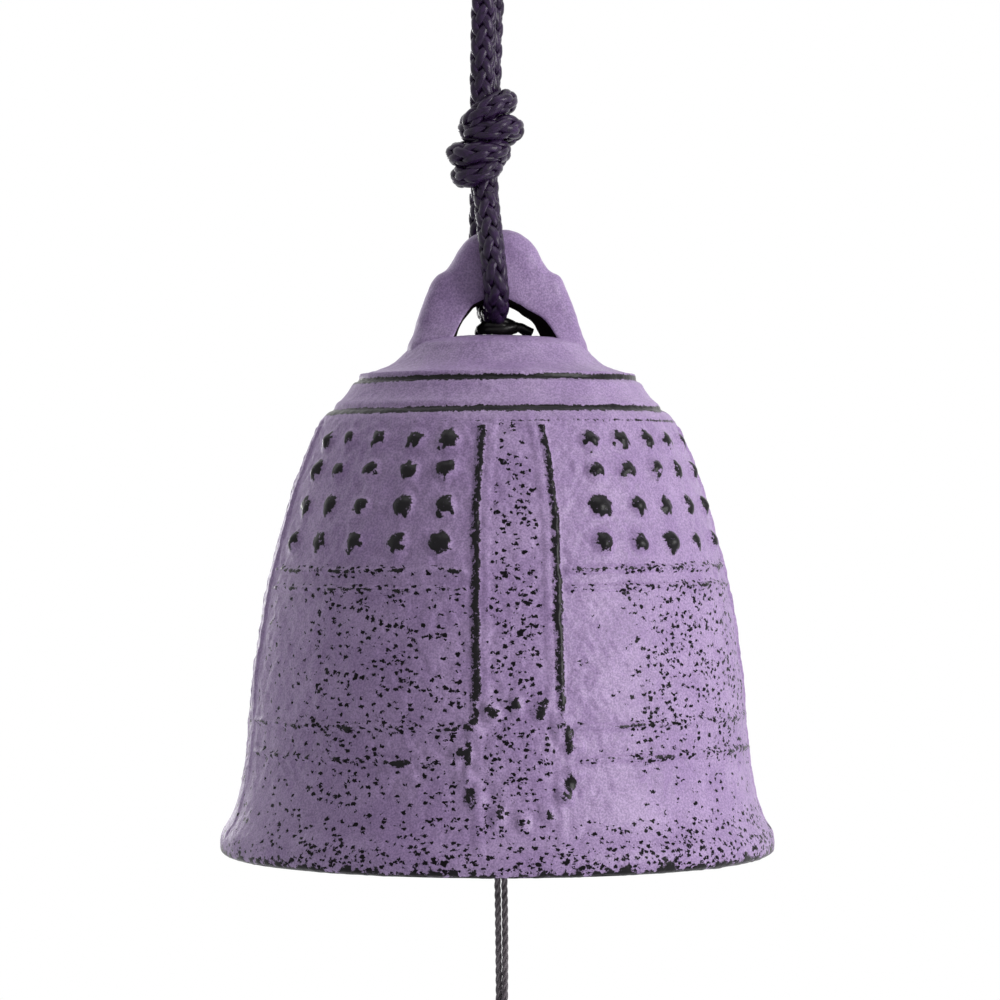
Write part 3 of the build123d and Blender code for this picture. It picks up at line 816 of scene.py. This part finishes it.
sling_line = cord_line("sling_line", bell_sling_route)
bell_sling = tubes_object("bell_sling_braid", braided(sling_line))
bell_sling.data.materials.append(thick_fibre)
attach(bell_sling, "sling")
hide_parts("bell_sling")

# Hanging knot: the same cord tied round itself above the ear. One wrap climbs to the right, the
# next bulges on the right, and the lowest bulges on the left, as they are drawn tight.
knot_middle = (-1.5, 0.0, -38.6)
knot_tight = 0.9
core_overlap = 0.7
knot_turns = [
    (0.4, 0.8, 2.6), (-0.9, 0.2, 1.6), (-1.7, -2.0, 1.3), (0.0, -3.2, 2.8), (2.1, -2.5, 3.9),
    (2.75, 0.1, 4.0), (1.6, 2.8, 3.2), (-0.7, 3.0, 2.4), (-1.9, 1.6, 1.2), (-1.6, -1.8, -0.1),
    (0.2, -3.2, 0.2), (2.6, -2.7, 0.9), (3.6, -0.2, 0.7), (2.2, 2.7, -0.2), (-0.8, 3.1, -1.5),
    (-2.9, 1.8, -2.1), (-3.5, -0.9, -2.4), (-1.7, -3.2, -2.7), (0.8, -3.0, -2.0), (2.0, -0.4, -1.9),
    (1.0, 2.4, -3.0), (-1.2, 2.9, -4.1), (-2.6, 1.4, -4.8), (-2.8, -1.1, -5.0), (-1.3, -2.9, -5.1),
    (0.3, -2.5, -4.2), (0.9, -0.3, -3.8), (0.2, 1.2, -4.0),
]
front_core_route = [
    (-1.888, -1.681, -31.6), (-1.9, -1.66, -33.2), (-1.8, -1.3, -36.0), (-1.6, -1.35, -41.0),
    (-1.55, -1.15, -43.6), (-1.5, -2.4, -46.3),
]
back_core_route = [
    (-0.888, 1.681, -31.6), (-0.9, 1.66, -33.2), (-1.1, 1.3, -36.0), (-1.4, 1.35, -41.0),
    (-1.6, 1.15, -43.6), (-1.64, 2.4, -46.3),
]
knot_line = cord_line("knot_line", np.array(knot_middle) + np.array(knot_turns))
front_core = cord_line("front_core", front_core_route)
back_core = cord_line("back_core", back_core_route)
loop_centre, loop_far = even_steps(loop_line, braid_step)
loop_side, _ = carried_frame(loop_centre)
knot_tubes = braided(knot_line, knot_tight)
knot_tubes += braided(front_core, begun=-core_overlap, first_side=-loop_side[0])
knot_tubes += braided(back_core, begun=loop_far[-1] - core_overlap, first_side=loop_side[-1])
hanging_knot = tubes_object("hanging_knot_braid", knot_tubes)
hanging_knot.data.materials.append(thick_fibre)
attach(hanging_knot, "sling")
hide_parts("hanging_knot")


# Clapper string: two thin yarns side by side, each twisted from three plies. They go from a stop knot
# on the crown, through its hole, through the clapper and out of the bell's mouth to the paper.
string_step = 0.14
yarn_apart = 0.41
yarn_turn_length = 150.0
yarn_phase = -0.325
second_yarn_lag = 0.7
ply_starts = (0.0, 2 * math.pi / 3, 4 * math.pi / 3)
ply_reach = 0.17
ply_radius = 0.235
ply_turn_length = 3.4
ply_sides = 8
knot_yarn_radius = 0.36
knot_core_inset = 0.45
knot_winds = 5.0
knot_steps = 260
knot_cover = 0.95
ball_rows = 13
ball_sides = 14
knot_lean = math.radians(52.0)
stop_knot_radius = 2.0
stop_knot_height = -63.95
neck_heights = (-66.0, -66.8)
swing_height = -67.6
swing_gap = 0.4
clapper_knot_radius = 1.6
clapper_knot_height = -113.808
string_foot_height = -112.158
tail_top_height = -115.458
tail_foot_height = -162.458
tail_bow_out = 0.55
tail_steps = 60
catcher_knot_radius = 1.4
catcher_knot_height = -163.908


def wound_plies(line, far, side, up, radius, begun):
    """The tubes of three plies that wind fast round a line, as sines and cosines of the distance along."""
    tubes = []
    for ply in ply_starts:
        fast = (2 * math.pi * far / ply_turn_length + ply + begun)[:, None]
        out = side * np.cos(fast) + up * np.sin(fast)
        tubes.append(tube_rows(line + ply_reach * out, side, up, radius, radius, ply_sides))
    return tubes


def doubled_yarn(line, phase):
    """The tubes of two yarns that stand a little apart and wind slowly round a line, each of three
    plies, as sines and cosines of the distance along."""
    centre, far = even_steps(line, string_step)
    side, up = carried_frame(centre)
    tubes = []
    for yarn in (0.0, math.pi):
        slow = (2 * math.pi * far / yarn_turn_length + yarn + phase)[:, None]
        yarn_line = centre + yarn_apart * (side * np.cos(slow) + up * np.sin(slow))
        tubes += wound_plies(yarn_line, far, side, up, ply_radius, second_yarn_lag * yarn)
    return tubes


thin_fibre = cord_fibre("grey_string", (0.050, 0.043, 0.050), (0.165, 0.145, 0.160), 0.15, 0.2, 5.0)


def straight(top, foot):
    """A straight line of three points down the bell's axis."""
    return np.array([(0.0, 0.0, top), (0.0, 0.0, (top + foot) / 2), (0.0, 0.0, foot)])


def string_piece(name, tubes, body, node):
    """A piece of the thin string on its body, in place of its CAD node."""
    made = tubes_object(name, tubes)
    made.data.materials.append(thin_fibre)
    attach(made, body)
    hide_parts(node)
    return made


def tied(radius, height, start):
    """The tubes of a small tied knot: one yarn wound round a ball of the given radius, leaning over, as
    a sphere's points with both angles growing along the yarn, and the ball inside it."""
    far = np.linspace(0.0, 1.0, knot_steps)
    tilt = knot_cover * math.pi * (far - 0.5)
    x, y, z = revolved(np.cos(tilt), np.sin(tilt), 2 * math.pi * knot_winds * far + start).T
    lean_cos, lean_sin = math.cos(knot_lean), math.sin(knot_lean)
    turned = np.stack([x * lean_cos + z * lean_sin, y, z * lean_cos - x * lean_sin], axis=1)
    line = turned * (radius - knot_yarn_radius) + np.array((0.0, 0.0, height))
    side, up = carried_frame(line)
    wound = tube_rows(line, side, up, knot_yarn_radius, knot_yarn_radius, ply_sides)
    ball_radius = radius - knot_core_inset
    ball_turn = np.linspace(-0.5 * math.pi, 0.5 * math.pi, ball_rows)
    ball_line = np.stack([0 * ball_turn, 0 * ball_turn, height + ball_radius * np.sin(ball_turn)], axis=1)
    ball_size = np.maximum(ball_radius * np.cos(ball_turn), 0.02)
    right, back = (np.tile(way, (len(ball_turn), 1)) for way in ((1.0, 0.0, 0.0), (0.0, 1.0, 0.0)))
    return [wound, tube_rows(ball_line, right, back, ball_size, ball_size, ball_sides)]


bow_lines = [
    [(0.3, -0.4, -62.9), (1.5, -1.0, -61.9), (2.6, -0.9, -61.5), (3.4, -0.7, -61.95), (4.1, -0.6, -62.25)],
    [(0.3, 0.3, -62.9), (1.2, 0.6, -61.7), (2.1, 0.6, -61.3), (3.0, 0.5, -61.75), (3.6, 0.6, -62.2)],
    [(-2.2, 0.4, -62.2), (-2.0, -1.2, -61.5), (-0.6, -1.9, -61.3), (0.9, -1.8, -61.6), (1.9, -0.6, -61.9)],
    [(-1.9, 1.0, -61.7), (-2.3, -0.6, -61.9), (-1.2, -1.8, -62.0), (0.6, -2.1, -61.9), (2.0, -1.2, -61.5)],
    [(-1.0, 1.6, -61.5), (-1.4, 0.0, -61.0), (-0.2, -1.4, -60.9), (1.2, -1.2, -61.0), (1.9, 0.4, -61.3)],
    [(2.2, 0.6, -61.8), (1.6, 1.7, -61.4), (0.2, 2.0, -61.3), (-1.2, 1.7, -61.6), (-2.1, 0.6, -61.9)],
]
bow_radius = 0.55
bow_step = 0.12
bow_sides = 10
stop_tubes = tied(stop_knot_radius, stop_knot_height, 0.4)
for bow in bow_lines:
    bow_line, _ = even_steps(cord_line("bow", bow), bow_step)
    bow_side, bow_up = carried_frame(bow_line)
    stop_tubes.append(tube_rows(bow_line, bow_side, bow_up, bow_radius, bow_radius, bow_sides))
stop_knot = string_piece("stop_knot_yarn", stop_tubes, "bell", "stop_knot")
# The stop knot is the same grey string as the rest, coloured near black: painted shade for the shadow it lies
# in, in the ear's window.
stop_knot_shade_fibre = cord_fibre("string_in_painted_shade", (0.004, 0.004, 0.004), (0.016, 0.014, 0.015), 0.0, 0.12, 5.0)
stop_knot.data.materials[0] = stop_knot_shade_fibre
string_piece("string_neck_yarn", doubled_yarn(straight(*neck_heights), yarn_phase), "neck", "string_neck")
clapper_line = straight(swing_height + swing_gap, string_foot_height)
clapper_yarn = doubled_yarn(clapper_line, yarn_phase)
clapper_string = string_piece("clapper_string_yarn", clapper_yarn, "clapper", "clapper_string")
clapper_tie = tied(clapper_knot_radius, clapper_knot_height, 1.1)
clapper_knot = string_piece("clapper_knot_yarn", clapper_tie, "clapper", "clapper_knot")
tail_share = np.linspace(0.0, 1.0, tail_steps)
tail_bow = tail_bow_out * np.sin(math.pi * tail_share) ** 0.8
tail_down = tail_top_height + (tail_foot_height - tail_top_height) * tail_share
tail_line = np.stack([tail_bow, 0 * tail_bow, tail_down], axis=1)
tail_yarn = doubled_yarn(tail_line, yarn_phase - 0.5)
tail_string = string_piece("tail_string_yarn", tail_yarn, "tail", "tail_string")
catcher_tie = tied(catcher_knot_radius, catcher_knot_height, 2.0)
catcher_knot = string_piece("catcher_knot_yarn", catcher_tie, "paper_swivel", "catcher_knot")
paper_loop_route = [
    (0.0, -0.62, -165.358), (0.0, -1.35, -168.208), (0.0, -0.95, -170.828),
    (0.0, 0.95, -170.828), (0.0, 1.35, -168.208), (0.0, 0.62, -165.358),
]
paper_loop_step = 0.1
paper_loop_ply_radius = 0.19
paper_loop_line, paper_loop_far = even_steps(cord_line("paper_loop_line", paper_loop_route), paper_loop_step)
paper_loop_side, paper_loop_up = carried_frame(paper_loop_line)
paper_loop_plies = wound_plies(
    paper_loop_line, paper_loop_far, paper_loop_side, paper_loop_up, paper_loop_ply_radius, 0.0
)
paper_loop = string_piece("paper_loop_yarn", paper_loop_plies, "paper", "paper_loop")

# Clapper: a small iron disc inside the bell, with a rounded rim and a hole for the string. It hangs
# on a knot under it and strikes the wall when the wind moves the paper.
clapper_height = -110.2
clapper_columns = 120
clapper_step = 0.3
clapper_outline = [
    (1.2, 2.1), (1.6, 2.45), (3.5, 2.5), (6.4, 2.42), (7.8, 1.95), (8.4, 1.0), (8.5, 0.0),
    (8.4, -1.0), (7.8, -1.95), (6.4, -2.42), (3.5, -2.5), (1.6, -2.45), (1.2, -2.1), (1.2, 0.0), (1.2, 2.1),
]
clapper_round = through(clapper_outline, clapper_step)
clapper_flat = revolved(clapper_round[:, :1], clapper_round[:, 1:], whole_turn(clapper_columns))
clapper_uneven = sand_grain(clapper_flat.reshape(-1, 3), 2.6, 41).reshape(clapper_flat.shape[:2])
clapper_points = clapper_flat * (1.0 - 0.006 * np.abs(clapper_uneven))[..., None]
clapper_points[..., 2] += clapper_height
clapper = grid_object("clapper_disc", clapper_points[:, ::-1], {})
clapper.data.materials.append(black_iron("clapper_iron", (0.026, 0.022, 0.022), 0.0007, 0.5))
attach(clapper, "clapper")
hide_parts("clapper")

# Paper strip: plain handmade paper with long fibres, cut to a strip and punched near its top. It
# turns and flaps on the loop, and pulls the string about.
paper_half_width = 17.9
paper_top = -167.408
paper_length = 114.9
paper_half_thick = 0.17
hole_drop = 5.0
hole_radius = 2.0
paper_columns = 192
paper_rings = 60
ring_growth = 1.6
paper_wave = 0.055
calm_reach = 20.0


def paper_sheet():
    """A grid over the strip with a round hole: rings of points that grow from the hole's circle into the
    strip's edge, on both faces, with a slight wave across and along."""
    up_room, down_room = hole_drop, paper_length - hole_drop
    draw_turn = whole_turn(paper_columns)
    corner_up = np.array((up_room, up_room, -down_room, -down_room))
    corner_turn = np.arctan2(corner_up, np.array((1, -1, -1, 1)) * paper_half_width) % (2 * math.pi)
    draw_turn[np.argmin(np.abs(draw_turn[:, None] - corner_turn), axis=0)] = corner_turn
    ray = np.stack([np.cos(draw_turn), np.sin(draw_turn)], axis=1)
    to_side = paper_half_width / np.maximum(np.abs(ray[:, 0]), 1e-6)
    to_end = np.where(ray[:, 1] > 0, up_room, down_room) / np.maximum(np.abs(ray[:, 1]), 1e-6)
    edge = ray * np.minimum(to_side, to_end)[:, None]
    grow = np.linspace(0.0, 1.0, paper_rings)[:, None, None] ** ring_growth
    flat = (1 - grow) * ray[None] * hole_radius + grow * edge[None]
    x, z = flat[..., 0], flat[..., 1]
    calm = np.clip(np.hypot(x, z) / calm_reach, 0.0, 1.0)
    wave = paper_wave * calm * (np.sin(x / 5.5 + 0.6) + np.sin(z / 13.0) + 0.5 * np.sin(z / 7.0 + x / 9.0))
    front = np.stack([x, wave - paper_half_thick, z + paper_top - hole_drop], axis=-1)
    back = np.stack([x, wave + paper_half_thick, z + paper_top - hole_drop], axis=-1)
    return np.concatenate([front, back[::-1], front[:1]], axis=0)


def handmade_paper():
    """Pale paper with soft clouds and lighter threads, which are the narrow middle of a bent noise."""
    made, tree, shader = new_finish("handmade_paper")
    place = add_node(tree, "TexCoord", {}).outputs["Object"]
    cloud = add_node(tree, "TexNoise", {"Vector": place, "Scale": 130.0, "Detail": 6.0}).outputs["Fac"]
    bent = {"Vector": place, "Scale": 240.0, "Detail": 2.0, "Distortion": 6.0}
    threads = add_node(tree, "TexNoise", bent).outputs["Fac"]
    thread_sides = {}
    for side, edge in enumerate((0.485, 0.515)):
        sockets = {"Value": threads, "From Min": edge, "From Max": 0.50}
        thread_sides[side] = add_node(tree, "MapRange", sockets).outputs["Result"]
    thread = add_node(tree, "Math", thread_sides, operation="MULTIPLY").outputs[0]
    clouded = two_tone(tree, cloud, 0.30, (0.60, 0.57, 0.60), 0.70, (0.67, 0.645, 0.665))
    tones = {"Factor": thread, 6: clouded, 7: (0.74, 0.72, 0.735, 1)}
    relief = add_node(tree, "Bump", {"Height": threads, "Strength": 0.4, "Distance": 0.0002})
    fill_node(tree, shader, {
        "Base Color": add_node(tree, "Mix", tones, data_type="RGBA").outputs[2],
        "Roughness": 0.85,
        "Specular IOR Level": 0.10,
        "Normal": relief.outputs["Normal"],
    })
    return made


paper_strip = grid_object("paper_strip_sheet", paper_sheet(), {})
paper_strip.data.materials.append(handmade_paper())
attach(paper_strip, "paper")
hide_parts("paper_strip")
